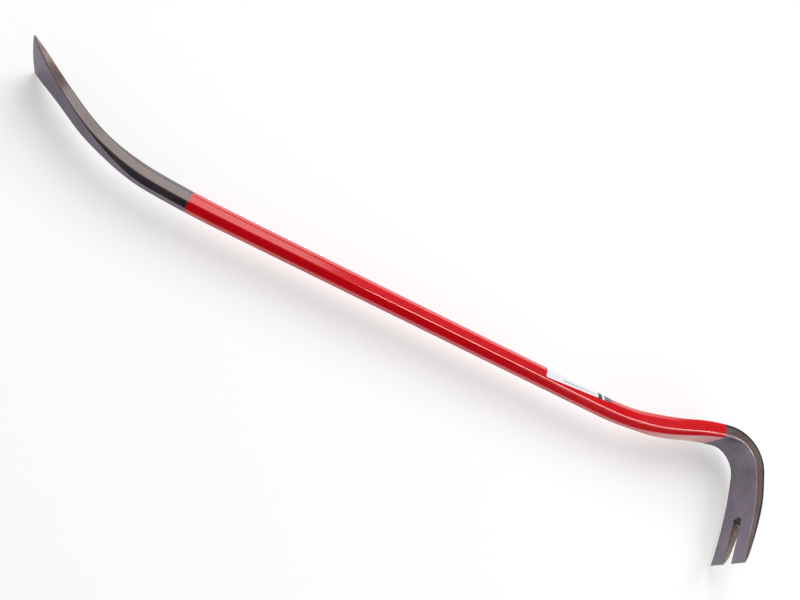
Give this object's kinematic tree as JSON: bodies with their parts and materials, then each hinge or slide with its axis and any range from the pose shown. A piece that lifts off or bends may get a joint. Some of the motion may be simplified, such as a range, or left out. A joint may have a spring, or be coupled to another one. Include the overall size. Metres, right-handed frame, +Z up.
{
  "type": "crowbar",
  "caption": "Gooseneck wrecking bar of octagonal steel with a curved flared chisel end, a slotted nail claw on a tight hook, and a painted grip length with a plain label.",
  "frame": {"origin": "under the middle of the bar's box, at the height of its lowest point, with the bar lying on its side", "axes": "+X along the straight shank from the chisel to the claw, +Y to the side to which the chisel curves and the gooseneck rises, +Z up, square to the plane in which the bar is bent"},
  "size_m": [0.7642, 0.149, 0.0615],
  "materials": {
    "dark_steel": "dark satin, heat treated and clear lacquered",
    "red_paint": "gloss enamel",
    "label_paper": "satin coated paper"
  },
  "bodies": {
    "root": {"forged_bar": "dark_steel", "red_paint_coat": "red_paint", "paper_label": "label_paper"}
  },
  "joints": []
}
